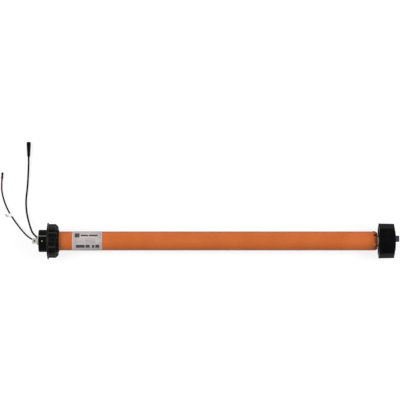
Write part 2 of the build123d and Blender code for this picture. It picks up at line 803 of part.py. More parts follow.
x_armature = x_can + armature_place
x_magnets = x_armature + armature_length / 2 - magnet_length / 2
with BuildPart() as motor_magnets:
    for side in (-90, 90):
        with BuildSketch(axial(side + magnet_spread / 2)):
            add(ring_outline(x_magnets, x_magnets + magnet_length, magnet_inner_radius,
                             can_bore_radius - running_gap))
        revolve(axis=tube_axis, revolution_arc=magnet_spread)
motor_magnets.part.label = "motor_magnets"

# Rotor: shaft, slotted core, windings, commutator and the first sun gear
with BuildPart() as motor_shaft:
    with BuildSketch(across(x_bell)):
        Circle(motor_shaft_radius)
    extrude(amount=x_planets[0] + planet_widths[0] - x_bell)
motor_shaft.part.label = "motor_shaft"

with BuildPart() as armature_core:
    with BuildSketch(across(x_armature)):
        Circle(armature_radius)
        with PolarLocations(armature_radius - slot_depth / 2, armature_poles, start_angle=90):
            Rectangle(slot_depth + cut_over, slot_width, mode=Mode.SUBTRACT)
        with PolarLocations(winding_radius - slot_depth / 2, armature_poles, start_angle=90):
            Rectangle(slot_depth, 2 * slot_width, mode=Mode.SUBTRACT)
        Circle(motor_shaft_radius + seat_gap, mode=Mode.SUBTRACT)
    extrude(amount=armature_length)
armature_core.part.label = "armature_core"

with BuildPart() as armature_windings:
    with BuildSketch(across(x_armature - winding_overhang)):
        with PolarLocations(winding_radius - slot_depth / 2, armature_poles, start_angle=90):
            Rectangle(slot_depth - 2 * seat_gap, 2 * slot_width - 2 * seat_gap)
    extrude(amount=armature_length + 2 * winding_overhang)
armature_windings.part.label = "armature_windings"

with BuildPart() as commutator:
    with BuildSketch(across(x_brush + body_gap)):
        Circle(commutator_radius)
        Circle(motor_shaft_radius + seat_gap, mode=Mode.SUBTRACT)
        with PolarLocations(commutator_radius, armature_poles, start_angle=90):
            Rectangle(2 * commutator_slit, commutator_slit, mode=Mode.SUBTRACT)
    extrude(amount=commutator_length)
commutator.part.label = "commutator"

x_pinion = x_ring - stage_gap
with BuildPart() as motor_pinion:
    with BuildSketch(across(x_pinion)):
        Polygon(*gear_outline(sun_teeth), align=None)
        Circle(motor_shaft_radius, mode=Mode.SUBTRACT)
    extrude(amount=x_planets[0] + planet_widths[0] - x_pinion)
motor_pinion.part.label = "motor_pinion"

# Rubber rings that hold the motor quietly in the tube
with BuildPart() as damper_rings:
    for start in (x_can + can_face, x_plate - can_face - damper_width):
        with BuildSketch(axial(0)):
            add(ring_outline(start, start + damper_width, can_radius + seat_gap, core_radius))
        revolve(axis=tube_axis)
damper_rings.part.label = "damper_rings"

# Battery: three cells in a row in a shrink wrap, held in the tube by foam rings
x_board = x_crown + board_place
carrier_length = board_length + 2 * carrier_margin
x_carrier_end = x_board + carrier_length
x_battery = x_carrier_end + battery_place
cell_pitch = cell_length + cell_cap_height + 2 * tab_thickness
battery_length = cell_count * cell_pitch + tab_thickness
with BuildPart() as battery_cells:
    for number in range(cell_count):
        start = x_battery + tab_thickness + number * cell_pitch
        with BuildSketch(across(start)):
            Circle(cell_radius)
        extrude(amount=cell_length)
        with BuildSketch(across(start + cell_length)):
            Circle(cell_cap_radius)
        extrude(amount=cell_cap_height)
battery_cells.part.label = "battery_cells"

with BuildPart() as battery_tabs:
    for number in range(cell_count + 1):
        with BuildSketch(across(x_battery + number * cell_pitch)):
            Rectangle(tab_width, tab_width)
        extrude(amount=tab_thickness)
battery_tabs.part.label = "battery_tabs"

with BuildPart() as battery_wrap:
    with BuildSketch(axial(0)):
        add(ring_outline(x_battery, x_battery + battery_length, cell_radius + seat_gap,
                         cell_radius + seat_gap + pack_wrap))
    revolve(axis=tube_axis)
battery_wrap.part.label = "battery_wrap"

foam_bore_radius = cell_radius + pack_wrap + 2 * seat_gap
foam_step = (battery_length - foam_width) / (foam_count - 1)
with BuildPart() as foam_rings:
    for number in range(foam_count):
        with BuildSketch(across(x_battery + number * foam_step)):
            Circle(core_radius)
            Circle(foam_bore_radius, mode=Mode.SUBTRACT)
            with Locations((0, tube_radius)):
                Rectangle(foam_notch_width, 2 * (tube_radius - foam_bore_radius - seat_gap),
                          mode=Mode.SUBTRACT)
        extrude(amount=foam_width)
foam_rings.part.label = "foam_rings"

# Board carrier: an open trough whose ledges hold the control board
board_top = board_thickness - board_drop
with BuildPart() as board_carrier:
    with BuildSketch(across(x_board)):
        Circle(core_radius)
        Circle(core_radius - carrier_wall, mode=Mode.SUBTRACT)
        with Locations((0, board_top)):
            Rectangle(2 * core_radius, 2 * core_radius, align=(Align.CENTER, Align.MIN),
                      mode=Mode.SUBTRACT)
        for side in (-1, 1):
            with Locations((side * (board_width - carrier_ledge) / 2, -board_drop)):
                Rectangle(2 * carrier_ledge, carrier_ledge, align=(Align.CENTER, Align.MAX))
    extrude(amount=carrier_length)
    with BuildSketch(across(x_board)):
        Circle(core_radius)
        Rectangle(2 * core_radius, 2 * core_radius, align=(Align.CENTER, Align.MAX),
                  mode=Mode.INTERSECT)
        with Locations((0, board_top)):
            Rectangle(board_width + 2 * seat_gap, tube_radius, align=(Align.CENTER, Align.CENTER),
                      mode=Mode.SUBTRACT)
    extrude(amount=carrier_wall)
board_carrier.part.label = "board_carrier"

x_board_start = x_board + carrier_margin
with BuildPart() as control_board:
    with BuildSketch(across(x_board_start)):
        with Locations((0, -board_drop)):
            Rectangle(board_width, board_thickness, align=(Align.CENTER, Align.MIN))
    extrude(amount=board_length)
control_board.part.label = "control_board"

board_face = Plane(origin=place(x_board_start, 0, board_top), x_dir=(1, 0, 0), z_dir=direction(0))

# Parts on the board: length, width and height of each, and its place as shares of the board
block_shares = [(0.19, 0.5, 0.12, 0.22, 0.0), (0.07, 0.3, 0.06, 0.36, 0.2), (0.07, 0.3, 0.06, 0.36, -0.2),
                (0.09, 0.36, 0.08, 0.48, 0.15), (0.05, 0.2, 0.1, 0.47, -0.26), (0.11, 0.4, 0.16, 0.6, -0.2),
                (0.04, 0.12, 0.06, 0.58, 0.22), (0.04, 0.12, 0.06, 0.63, 0.22), (0.1, 0.4, 0.2, 0.85, 0.18)]
with BuildPart() as board_parts:
    for length_share, width_share, height_share, place_share, side_share in block_shares:
        with BuildSketch(board_face):
            with Locations((place_share * board_length, side_share * board_width)):
                Rectangle(length_share * board_length, width_share * board_width)
        extrude(amount=height_share * board_width)
board_parts.part.label = "board_parts"

capacitor_radius_share = 0.16
capacitor_height_share = 0.42
capacitor_shares = [(0.72, 0.26), (0.72, -0.26)]
with BuildPart() as board_capacitors:
    with BuildSketch(board_face):
        for place_share, side_share in capacitor_shares:
            with Locations((place_share * board_length, side_share * board_width)):
                Circle(capacitor_radius_share * board_width)
    extrude(amount=capacitor_height_share * board_width)
board_capacitors.part.label = "board_capacitors"

terminal_length = 8.0
terminal_width = 12.0
terminal_height = 6.0
with BuildPart() as board_terminals:
    with BuildSketch(board_face):
        with Locations((terminal_length / 2, 0), (board_length - terminal_length / 2, -terminal_width / 4)):
            Rectangle(terminal_length, terminal_width)
    extrude(amount=terminal_height)
board_terminals.part.label = "board_terminals"

# Two wires that run from the board past the battery to the motor's end bell
x_wire = x_board_start + board_length
x_gap = x_battery - x_wire
wire_rise_share = 0.25
wire_lift = board_top + terminal_height / 2
with BuildPart() as motor_wires:
    for side in (-wire_side, wire_side):
        stops = [place(x_wire, side, wire_lift), place(x_wire + wire_rise_share * x_gap, side, wire_lift),
                 place(x_battery - wire_rise_share * x_gap, side, wire_height),
                 place(x_bell - wire_run, side, wire_height),
                 place(x_bell - wire_run / 4, side, wire_height / 2),
                 place(x_bell, side, wire_height / 2)]
        with BuildLine() as route:
            FilletPolyline(*stops, radius=2 * wire_radius)
        with BuildSketch(Plane(origin=stops[0], z_dir=(1, 0, 0))):
            Circle(wire_radius)
        sweep(path=route.line)
motor_wires.part.label = "motor_wires"


def lead(start, way, reach, points, radius, name):
    """A free lead: a round tube on straight runs joined by arcs as large as the runs allow."""
    stops = [start, start + way * reach] + [Vector(*point) for point in points]
    radii = []
    run_share = 0.45
    for before, corner, after in zip(stops, stops[1:], stops[2:]):
        turn = (corner - before).get_angle(after - corner)
        shorter = min((corner - before).length, (after - corner).length)
        radii.append(run_share * shorter / math.tan(math.radians(turn) / 2))
    with BuildPart() as piece:
        with BuildLine() as route:
            FilletPolyline(*stops, radius=radii)
        with BuildSketch(Plane(origin=start, z_dir=way)):
            Circle(radius)
        sweep(path=route.line)
    length = route.wires()[0].length
    print(name, "length", round(length, 1), "radii", [round(value, 1) for value in radii],
          "volume share", round(piece.part.volume / (length * math.pi * radius ** 2), 4))
    return piece, stops


# Free leads: each leaves its gland, drops to the surface and lies on it in a loose curve
power_reach = 9.0
power_points = [(-340.2, 33.0, 17.0), (-346.2, 50.0, 9.0), (-351.4, 69.0, 1.8), (-354.4, 92.0, 1.8),
                (-353.2, 116.0, 1.8), (-351.6, 140.0, 1.8), (-351.0, 158.0, 2.2), (-350.8, 168.0, 4.3),
                (-350.8, 176.0, 4.3)]
power_end = Vector(*power_points[-1])
power_lead, power_stops = lead(power_exit, power_way, power_reach, power_points, power_radius,
                               "power lead")
power_lead.part.label = "power_lead"

antenna_reach = 6.0
antenna_points = [(-345.0, 12.6, 16.4), (-355.0, 23.0, 11.0), (-365.5, 37.0, 4.6), (-375.5, 52.5, 1.5),
                  (-385.5, 70.0, 1.5), (-394.0, 89.5, 1.5), (-400.0, 110.0, 1.5),
                  (-400.8, 126.0, 1.7), (-399.8, 137.0, 2.1)]
antenna_end = Vector(*antenna_points[-1])
antenna_lead, antenna_stops = lead(antenna_exit, antenna_way, antenna_reach, antenna_points,
                                   antenna_radius, "antenna lead")
antenna_lead.part.label = "antenna_lead"

# Charging socket on the power lead: a tapered grip, a round body and a bore for the plug
socket_neck_length = 6.4
socket_body_length = 27.6
socket_neck_radius = 2.1
socket_waist_radius = 2.5
socket_taper_share = 0.8
socket_radius = 4.25
socket_edge = 1.1
socket_bore_radius = 2.75
socket_bore_depth = 9.5
socket_pin_radius = 1.0
socket_way = (power_end - power_stops[-2]).normalized()
socket_plane = Plane(origin=power_end, z_dir=socket_way, x_dir=(0, 0, 1))
socket_length = socket_neck_length + socket_body_length
with BuildPart() as power_connector:
    with BuildSketch(Plane(origin=power_end, x_dir=socket_way, z_dir=socket_plane.y_dir)):
        add(half_outline(
            (0, 0), (0, socket_neck_radius), (socket_neck_length, socket_neck_radius),
            (socket_neck_length, socket_waist_radius),
            (socket_neck_length + socket_taper_share * socket_body_length, socket_radius),
            (socket_length - socket_edge, socket_radius), (socket_length, socket_radius - socket_edge),
            (socket_length, socket_bore_radius), (socket_length - socket_bore_depth, socket_bore_radius),
            (socket_length - socket_bore_depth, socket_pin_radius),
            (socket_length - socket_edge, socket_pin_radius), (socket_length - socket_edge, 0)))
    revolve(axis=Axis(power_end, socket_way))
power_connector.part.label = "power_connector"

# Cap on the antenna's end, with a waist
tip_length = 12.0
tip_radius = 2.1
tip_waist_radius = 1.7
tip_edge = 0.6
tip_way = (antenna_end - antenna_stops[-2]).normalized()
with BuildPart() as antenna_cap:
    with BuildSketch(Plane(origin=antenna_end, x_dir=tip_way, z_dir=tip_way.cross(Vector(0, 0, 1)))):
        add(half_outline(
            (0, 0), (0, tip_radius - tip_edge), (tip_edge, tip_radius), (tip_length / 3, tip_radius),
            (tip_length / 2, tip_waist_radius), (2 * tip_length / 3, tip_radius),
            (tip_length - tip_edge, tip_radius), (tip_length, tip_radius - tip_edge), (tip_length, 0)))
    revolve(axis=Axis(antenna_end, tip_way))
antenna_cap.part.label = "antenna_cap"

# Paper flag wrapped round the antenna lead
flag_length = 10.0
flag_height = 7.0
flag_thickness = 0.3
flag_sleeve = 0.2
flag_before, flag_after = antenna_stops[5:7]
flag_way = (flag_after - flag_before).normalized()
flag_middle = (flag_before + flag_after) / 2
flag_plane = Plane(origin=flag_middle - flag_way * flag_height / 2, z_dir=flag_way, x_dir=(-1, 0, 0))
with BuildPart() as antenna_flag:
    with BuildSketch(flag_plane):
        Circle(antenna_radius + flag_sleeve)
        with Locations((antenna_radius, 0)):
            Rectangle(flag_length, flag_thickness, align=(Align.MIN, Align.CENTER))
        Circle(antenna_radius + running_gap, mode=Mode.SUBTRACT)
    extrude(amount=flag_height)
antenna_flag.part.label = "antenna_flag"

pieces = [head_housing, square_pin, pin_plate, head_screws, setting_button, button_switch, power_gland,
          antenna_gland, motor_tube, rating_label, crown_bearing, crown_clip, crown_ring, drive_wheel,
          wheel_latch, output_shaft, output_bush, gearbox_cap, end_rivets, ring_gear, motor_plate,
          brake_pad, brake_disc, motor_can, motor_bearings, motor_end_bell, motor_brushes,
          motor_magnets, motor_shaft, armature_core, armature_windings, commutator, motor_pinion,
          damper_rings, battery_cells, battery_tabs, battery_wrap, foam_rings, board_carrier,
          control_board, board_parts, board_capacitors, board_terminals, motor_wires, power_lead,
          power_connector, antenna_lead, antenna_cap, antenna_flag] + planets + carriers
for piece in pieces:
    export_step(piece.part, f"parts/{piece.part.label}.step")
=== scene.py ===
# %% [markdown]
# # A tubular roller blind motor
# The motor is a slim orange tube with a black head, a free octagonal crown beside it and a driven
# octagonal wheel at its far end. The solids come from the CAD model, which is the frame of this
# scene. Here they get softened edges, materials and light, and the two leads get their smooth lines.

# %% Load the frame and keep its size
import math

import bmesh
import bpy
import numpy as np
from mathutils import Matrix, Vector


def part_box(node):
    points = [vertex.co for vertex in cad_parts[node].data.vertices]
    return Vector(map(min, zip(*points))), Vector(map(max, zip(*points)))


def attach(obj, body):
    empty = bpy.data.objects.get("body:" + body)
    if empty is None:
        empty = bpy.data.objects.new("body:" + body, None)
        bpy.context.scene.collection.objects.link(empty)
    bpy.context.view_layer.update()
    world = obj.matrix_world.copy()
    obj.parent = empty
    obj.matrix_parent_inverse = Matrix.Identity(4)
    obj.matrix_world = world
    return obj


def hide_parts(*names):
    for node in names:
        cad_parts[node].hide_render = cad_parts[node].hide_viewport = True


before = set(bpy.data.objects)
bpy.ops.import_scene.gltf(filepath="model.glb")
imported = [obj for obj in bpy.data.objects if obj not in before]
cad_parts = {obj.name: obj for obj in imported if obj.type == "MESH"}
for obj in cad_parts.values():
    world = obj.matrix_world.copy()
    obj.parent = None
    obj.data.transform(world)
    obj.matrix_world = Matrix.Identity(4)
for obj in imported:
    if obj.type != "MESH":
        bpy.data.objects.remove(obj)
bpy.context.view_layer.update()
MM = 0.001
print("nodes:", len(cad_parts))

# %% [markdown]
# The axis of the tube lies at the height of half a flat-to-flat width of the crown's flange. The
# part lies on a flat, and the camera looks at a corner between two flats, so all places across the
# tube are counted in two directions: towards the camera's side, and towards the side of the leads.

# %% Name the directions of the tube
AXIS_HEIGHT = 33.4 * math.cos(math.radians(22.5)) * MM
ROLL = 22.5


def direction(angle):
    """The way out from the axis, in degrees from the key side towards the lead side."""
    lean = np.radians(angle - ROLL)
    return np.array([0 * lean, np.sin(lean), np.cos(lean)])


KEY_SIDE = direction(0.0)
LEAD_SIDE = direction(90.0)
print("key side:", np.round(KEY_SIDE, 3), "lead side:", np.round(LEAD_SIDE, 3))

# %% [markdown]
# A material is a small graph of nodes. One function adds a node, sets its values and joins its
# inputs, and another turns a colour written as on a paint card into the linear values that the
# shaders use.

# %% Helpers for colours and nodes


def paint(code, alpha=1.0):
    """Linear colour of an sRGB hex code: each channel c becomes ((c + 0.055) / 1.055) ^ 2.4."""
    channels = np.array([int(code[i:i + 2], 16) / 255 for i in (0, 2, 4)])
    low = channels / 12.92
    high = ((channels + 0.055) / 1.055) ** 2.4
    return (*np.where(channels <= 0.04045, low, high), alpha)


def node(tree, kind, values=None, **links):
    """Adds a node of a kind. Values are set on it or on its inputs, links join its inputs."""
    made = tree.nodes.new("ShaderNode" + kind)
    for key, value in (values or {}).items():
        if isinstance(key, int) or key in made.inputs:
            made.inputs[key].default_value = value
        else:
            setattr(made, key, value)
    for name, source in links.items():
        slot = int(name[1:]) if name[0] == "i" and name[1:].isdigit() else name.replace("_", " ")
        tree.links.new(source, made.inputs[slot])
    return made


def new_material(name, **values):
    """A material with one Principled shader, whose sockets take the given values."""
    material = bpy.data.materials.new(name)
    material.use_nodes = True
    shader = material.node_tree.nodes["Principled BSDF"]
    for key, value in values.items():
        shader.inputs[key.replace("_", " ")].default_value = value
    return material, material.node_tree, shader


def ramp(tree, source, stops):
    """A colour ramp over a value, from (place, colour) stops."""
    made = node(tree, "ValToRGB", Fac=source)
    while len(made.color_ramp.elements) < len(stops):
        made.color_ramp.elements.new(0.5)
    for element, (place, colour) in zip(made.color_ramp.elements, stops):
        element.position = place
        element.color = colour
    return made.outputs["Color"]


def grain(tree, shader, size_mm, height_mm, stretch=(1, 1, 1), detail=3.0):
    """A bump of noise whose blobs are size_mm across and height_mm high, stretched along an axis."""
    place = node(tree, "TexCoord").outputs["Object"]
    turned = node(tree, "Mapping", {"Scale": stretch}, Vector=place)
    noise = node(tree, "TexNoise", {"Scale": 1 / (size_mm * MM), "Detail": detail},
                 Vector=turned.outputs["Vector"])
    bump = node(tree, "Bump", {"Strength": 1.0, "Distance": height_mm * MM},
                Height=noise.outputs["Fac"])
    tree.links.new(bump.outputs["Normal"], shader.inputs["Normal"])
    return noise.outputs["Fac"]


def mottled(name, codes, size_mm, grain_mm, grain_height_mm, stretch=(1, 1, 1), spread=0.08, **values):
    """A surface whose colour drifts between two codes over size_mm, under a fine grain."""
    material, tree, shader = new_material(name, **values)
    grain(tree, shader, grain_mm, grain_height_mm, stretch)
    place = node(tree, "TexCoord").outputs["Object"]
    drift = node(tree, "TexNoise", {"Scale": 1 / (size_mm * MM), "Detail": 2.0}, Vector=place)
    colour = ramp(tree, drift.outputs["Fac"], [(0.35, paint(codes[0])), (0.65, paint(codes[1]))])
    tree.links.new(colour, shader.inputs["Base Color"])
    rough = values.get("Roughness", 0.5)
    worn = node(tree, "MapRange", {"To Min": rough - spread, "To Max": rough + spread},
                Value=drift.outputs["Fac"])
    tree.links.new(worn.outputs["Result"], shader.inputs["Roughness"])
    return material


print("orange in linear light:", np.round(paint("C9703A")[:3], 3))

# %% [markdown]
# The tube is drawn aluminium under a satin orange lacquer. Drawing leaves very long, shallow lines
# along the tube, and the lacquer over them is smooth and slightly glossy, so the highlight is a
# long soft band. A coat layer over a rough base gives that double sheen with one shader.

# %% Lacquered tube
tube_finish = mottled("drawn_aluminium_orange_lacquer", ("C2632E", "C86933"), 40, 0.9, 0.006,
                      stretch=(0.04, 1, 1), spread=0.03, Roughness=0.45, Metallic=0.1,
                      Specular_IOR_Level=0.12, Coat_Weight=0.03, Coat_Roughness=0.3)
print("made:", tube_finish.name)

# %% [markdown]
# Crown and wheel are injection moulded polyamide with glass fibre, and the head is moulded ABS. The
# mould is spark eroded, which leaves a fine even grain and hardly any sheen, so the specular level
# is near nought. The grain of 0.3 mm is drawn at about 0.7 mm so that it shows. Crown and head have
# a second, lighter finish on their rounded edges, which is a painted highlight, and the head a third,
# paler still, which is a painted highlight along one edge of its flat.

# %% Moulded plastics
crown_finish = mottled("moulded_polyamide_black", ("0B0C0A", "11110F"), 14, 0.7, 0.012, Roughness=0.45,
                       IOR=1.53, Specular_IOR_Level=0.02)
wheel_finish = mottled("moulded_polyamide_black_wheel", ("060608", "0B0B0D"), 16, 0.7, 0.01,
                       Roughness=0.45, IOR=1.53, Specular_IOR_Level=0.02)
head_finish = mottled("moulded_abs_black_head", ("0A0B0A", "10110F"), 12, 0.6, 0.01, Roughness=0.5,
                      IOR=1.54, Specular_IOR_Level=0.02)
# Painted highlight: a lighter black for the rounded edges of crown and head, standing in for thin lines
# of light on them.
edge_highlight_finish = mottled("moulded_polyamide_black_edge_highlight", ("383937", "424340"), 5, 0.5, 0.01,
                      Roughness=0.42, IOR=1.53, Specular_IOR_Level=0.3)
# Painted highlight: a pale grey for one line along the edge of the head's flat, standing in for a line
# of light.
painted_highlight_finish = mottled("moulded_abs_black_painted_highlight", ("7E7F7B", "8E8F8B"), 3, 0.5, 0.01, Roughness=0.42,
                        IOR=1.54, Specular_IOR_Level=0.3)
sleeve_finish = mottled("moulded_acetal_black", ("08080A", "0C0C0D"), 10, 0.8, 0.006, Roughness=0.36,
                        IOR=1.48, Specular_IOR_Level=0.1)
button_finish = mottled("moulded_abs_grey", ("8B8C89", "989996"), 3, 0.5, 0.006, Roughness=0.4,
                        IOR=1.54)
latch_finish = mottled("moulded_acetal_navy", ("1A1B33", "212342"), 6, 0.6, 0.008, Roughness=0.36,
                       IOR=1.48)
rubber_finish = mottled("moulded_rubber_black", ("0C0C0D", "131314"), 5, 0.6, 0.01, Roughness=0.6,
                        IOR=1.52, Specular_IOR_Level=0.12)
print("materials so far:", len(bpy.data.materials))

# %% [markdown]
# The pin is cast zinc, tumbled and left bare: a soft grey metal with a slight orange-peel skin. The
# plate and screws are zinc plated steel, and the shaft is turned and drawn bright. The same helper
# makes them all: what sets a metal apart is its metallic value, and its grain tells how it was made.

# %% Metals
pin_finish = mottled("cast_zinc_tumbled", ("9A9D96", "A9ACA5"), 4, 0.9, 0.02, Roughness=0.46,
                     Metallic=0.75)
# A darker grey for the wall of the pin's cross hole.
dark_hole_finish = mottled("cast_zinc_dark_hole_wall", ("3A3B38", "4A4B47"), 2, 0.6, 0.02, Roughness=0.7,
                       Specular_IOR_Level=0.2)
plate_finish = mottled("zinc_plated_steel_plate", ("9C9E99", "A8AAA5"), 5, 0.8, 0.01, Roughness=0.44,
                       Metallic=0.8)
steel_finish = mottled("turned_bright_steel", ("A6A7A8", "B4B5B6"), 8, 0.5, 0.004,
                       stretch=(1, 0.1, 0.1), Roughness=0.3, Metallic=1.0)
bronze_finish = mottled("sintered_bronze", ("A5793F", "B8894B"), 2, 0.4, 0.01, Roughness=0.5,
                        Metallic=0.9)
copper_finish = mottled("enamelled_copper_wire", ("A4552B", "B8663A"), 3, 0.5, 0.08,
                        stretch=(0.1, 1, 1), Roughness=0.32, Metallic=0.85)
ferrite_finish = mottled("sintered_ferrite", ("2C2C2E", "383839"), 3, 0.6, 0.01, Roughness=0.6)
can_finish = mottled("drawn_aluminium_can", ("A9ABAD", "B8BABC"), 6, 0.8, 0.004, Roughness=0.34,
                     Metallic=0.95)
print("materials so far:", len(bpy.data.materials))

# %% [markdown]
# Inside the tube the gears and terminals are pale plastics and the board's carrier a grey one. Blue
# shrink film holds the cells, between foam rings. The finishes differ in colour and grain first, and
# in gloss second, as the real ones do.

# %% Plastics and laminates inside the tube
gear_finish = mottled("hobbed_acetal_natural", ("DAD6C8", "E6E2D6"), 6, 0.7, 0.006, Roughness=0.42,
                      IOR=1.48)
carrier_finish = mottled("moulded_polycarbonate_grey", ("8A8C8E", "969899"), 10, 0.8, 0.008,
                         Roughness=0.45, IOR=1.58)
wrap_finish = mottled("shrink_film_blue", ("1F4E8C", "26599C"), 12, 2.0, 0.03, Roughness=0.3, IOR=1.54)
foam_finish = mottled("open_cell_foam_grey", ("3A3B3D", "4E4F51"), 2, 0.9, 0.25, Roughness=0.95)
lining_finish = mottled("cork_rubber_lining", ("5B4026", "7A5A38"), 1.2, 0.6, 0.04, Roughness=0.8)
carbon_finish = mottled("pressed_carbon", ("1B1B1C", "262627"), 1.5, 0.4, 0.01, Roughness=0.55)
chip_finish = mottled("moulded_epoxy_chip", ("141415", "1C1C1D"), 3, 0.4, 0.008, Roughness=0.5)
terminal_finish = mottled("moulded_nylon_white", ("D8D8D2", "E4E4DF"), 4, 0.6, 0.006, Roughness=0.45)
rivet_finish = mottled("yellow_passivated_zinc", ("9C7A55", "AA8760"), 3, 0.6, 0.008, Roughness=0.5,
                       Metallic=0.3)
wire_finish = mottled("extruded_pvc_red", ("9C1F18", "AC2A22"), 8, 1.0, 0.004, Roughness=0.4)
print("materials so far:", len(bpy.data.materials))

# %% [markdown]
# The cells wear a green printed sleeve with a bare metal end. The board is green lacquered glass
# laminate with thin tracks under the lacquer, drawn as a fine brick pattern 1.2 mm apart.

# %% Battery cells and control board
cell_finish = mottled("shrink_sleeve_green", ("2F7D55", "378A60"), 15, 2.0, 0.01, Roughness=0.32,
                      IOR=1.54)
board_finish, tree, shader = new_material("lacquered_glass_laminate", Roughness=0.3, Coat_Weight=0.4)
tracks = node(tree, "TexBrick", {"Scale": 1 / (12 * MM), "Mortar Size": 0.03, "Brick Width": 0.5,
                                 "Row Height": 0.1, "Color1": paint("1B5A33"), "Color2": paint("1F6238"),
                                 "Mortar": paint("2C7B4A")},
              Vector=node(tree, "TexCoord").outputs["Object"])
tree.links.new(tracks.outputs["Color"], shader.inputs["Base Color"])
grain(tree, shader, 0.8, 0.005)
print("materials:", len(bpy.data.materials))

# %% [markdown]
# The label is a matt silver foil. Whatever the real one says is left out: here it has a pale rim,
# a plain grey block and ruled lines, as on a blank form. A picture would do, but masks in the
# shader stay sharp at every distance. They follow the foil's own map, whose first axis runs along
# the tube and whose second runs round it.

# %% Label foil
LABEL_LENGTH_MM = 55.0
LABEL_ROUND_MM = 61.0
RIM_NEAR_MM = 2.2
RIM_FAR_MM = 1.6
RIM_SIDE_MM = 1.4
STRONG_INK = 0.92
FINE_INK = 0.45
# Each print is a list of its bands round the tube and a list of its stretches along it
BLOCK = ([(37.2, 46.6)], [(4.9, 13.8)])
HEADING = ([(39.6, 43.2)], [(16.2, 29.5), (31, 46.9)])
SIGNS = ([(17.0, 23.6)], [(7, 23.3), (24.8, 32.5), (36.6, 40.7), (42.8, 49.9)])
RULES = ([(26.6 + 2.4 * number, 27.7 + 2.4 * number) for number in range(4)], [(5, 22), (23.5, 43)])
foil_finish, tree, shader = new_material("printed_silver_foil", Roughness=0.55, Metallic=0.1,
                                         Specular_IOR_Level=0.3)
place = node(tree, "UVMap", {"uv_map": "foil"}).outputs["UV"]
along, around = node(tree, "SeparateXYZ", Vector=place).outputs[:2]


def between(value, low, high):
    """One where low < value < high, nought elsewhere."""
    above = node(tree, "Math", {"operation": "GREATER_THAN", 1: low}, i0=value).outputs[0]
    below = node(tree, "Math", {"operation": "LESS_THAN", 1: high}, i0=value).outputs[0]
    return node(tree, "Math", {"operation": "MULTIPLY"}, i0=above, i1=below).outputs[0]


def both(first, second, operation="MULTIPLY"):
    """Two masks put together: their overlap, or their union as the larger of the two."""
    return node(tree, "Math", {"operation": operation}, i0=first, i1=second).outputs[0]


def bars(rows, columns):
    """A mask of bars: each (start, stop) of the columns within the rows' (low, high)."""
    masks = [both(between(along, *column), between(around, *row)) for row in rows for column in columns]
    for mask in masks[1:]:
        masks[0] = both(masks[0], mask, "MAXIMUM")
    return masks[0]


strong = both(bars(*BLOCK), bars(*HEADING), "MAXIMUM")
strong = both(strong, bars(*SIGNS), "MAXIMUM")
fine = bars(*RULES)
inner = both(between(along, RIM_NEAR_MM, LABEL_LENGTH_MM - RIM_FAR_MM),
             between(around, RIM_SIDE_MM, LABEL_ROUND_MM - RIM_SIDE_MM))
ground = node(tree, "Mix", {"data_type": "RGBA", 6: paint("CFC2BC"), 7: paint("BDB5B3")}, i0=inner)
pressed = both(node(tree, "Math", {"operation": "MULTIPLY", 1: STRONG_INK}, i0=strong).outputs[0],
               node(tree, "Math", {"operation": "MULTIPLY", 1: FINE_INK}, i0=fine).outputs[0],
               "MAXIMUM")
printed = node(tree, "Mix", {"data_type": "RGBA", 7: paint("1E1F27")}, i0=pressed,
               i6=ground.outputs[2])
tree.links.new(printed.outputs[2], shader.inputs["Base Color"])
grain(tree, shader, 1.2, 0.006)
print("nodes of the label's print:", len(tree.nodes))

# %% [markdown]
# A CAD solid has knife-sharp edges, and a moulded or turned piece never has. Each visible solid is
# copied, its loose triangles are merged, and a Bevel modifier rounds every edge sharper than a
# limit. The rounded edge catches a thin line of light, which is what makes black plastic readable.
# On crown and head the rounded edges carry a painted highlight, and the blunt corners between two flats
# are rounded least, so that painted line stays faint there.

# %% Softened copies of the visible solids
MERGE_MM = 0.002
FLAT_ANGLE = 0.5
SHARP_ANGLE = 32
BLUNT_ANGLE = 60
BLUNT_WEIGHT = 0.3
CUT_REACH = 1e-7


def cut_through(work, place, facing):
    """Cuts every face of a mesh along the plane through a place, square to a direction."""
    bmesh.ops.bisect_plane(work, geom=work.verts[:] + work.edges[:] + work.faces[:], dist=CUT_REACH,
                           plane_co=place, plane_no=facing)


def dressed(name, node_name, finish, edge_mm, body, edge_finish=None, cuts_mm=()):
    """A merged copy of a CAD node with rounded edges, cut across at the given places."""
    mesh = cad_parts[node_name].data.copy()
    mesh.name = name
    work = bmesh.new()
    work.from_mesh(mesh)
    bmesh.ops.remove_doubles(work, verts=work.verts, dist=MERGE_MM * MM)
    bmesh.ops.dissolve_limit(work, angle_limit=math.radians(FLAT_ANGLE), verts=work.verts,
                             edges=work.edges)
    for cut in cuts_mm:
        cut_through(work, (cut * MM, 0, 0), (1, 0, 0))
    bmesh.ops.triangulate(work, faces=[face for face in work.faces if len(face.verts) > 4])
    for face in work.faces:
        face.smooth = True
    weight = work.edges.layers.float.new("bevel_weight_edge")
    for edge in work.edges:
        turn = edge.calc_face_angle(0) if len(edge.link_faces) == 2 else 0
        edge.smooth = turn <= math.radians(SHARP_ANGLE)
        blunt = BLUNT_WEIGHT if edge_finish and turn < math.radians(BLUNT_ANGLE) else 1
        edge[weight] = 0 if edge.smooth else blunt
    work.to_mesh(mesh)
    work.free()
    mesh.materials.clear()
    mesh.materials.append(finish)
    if edge_finish:
        mesh.materials.append(edge_finish)
    piece = bpy.data.objects.new(name, mesh)
    bpy.context.scene.collection.objects.link(piece)
    bevel = piece.modifiers.new("rounded_edges", "BEVEL")
    bevel.width = edge_mm * MM
    bevel.segments = 2
    bevel.limit_method = "WEIGHT"
    bevel.use_clamp_overlap = True
    # The second finish, on head and crown, is a painted highlight on the rounded edges.
    bevel.material = 1 if edge_finish else -1
    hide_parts(node_name)
    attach(piece, body)
    return piece


print("edges are rounded where they turn by more than", SHARP_ANGLE, "degrees")

# %% [markdown]
# Each visible piece has its own rounding, in millimetres: turned and drawn ones are nearly sharp, and
# moulded ones are softest. A piece rides on the body it moves with. The tube's long faces are cut
# across in several places, so that the thin triangles of its pierced end don't spoil the shading.

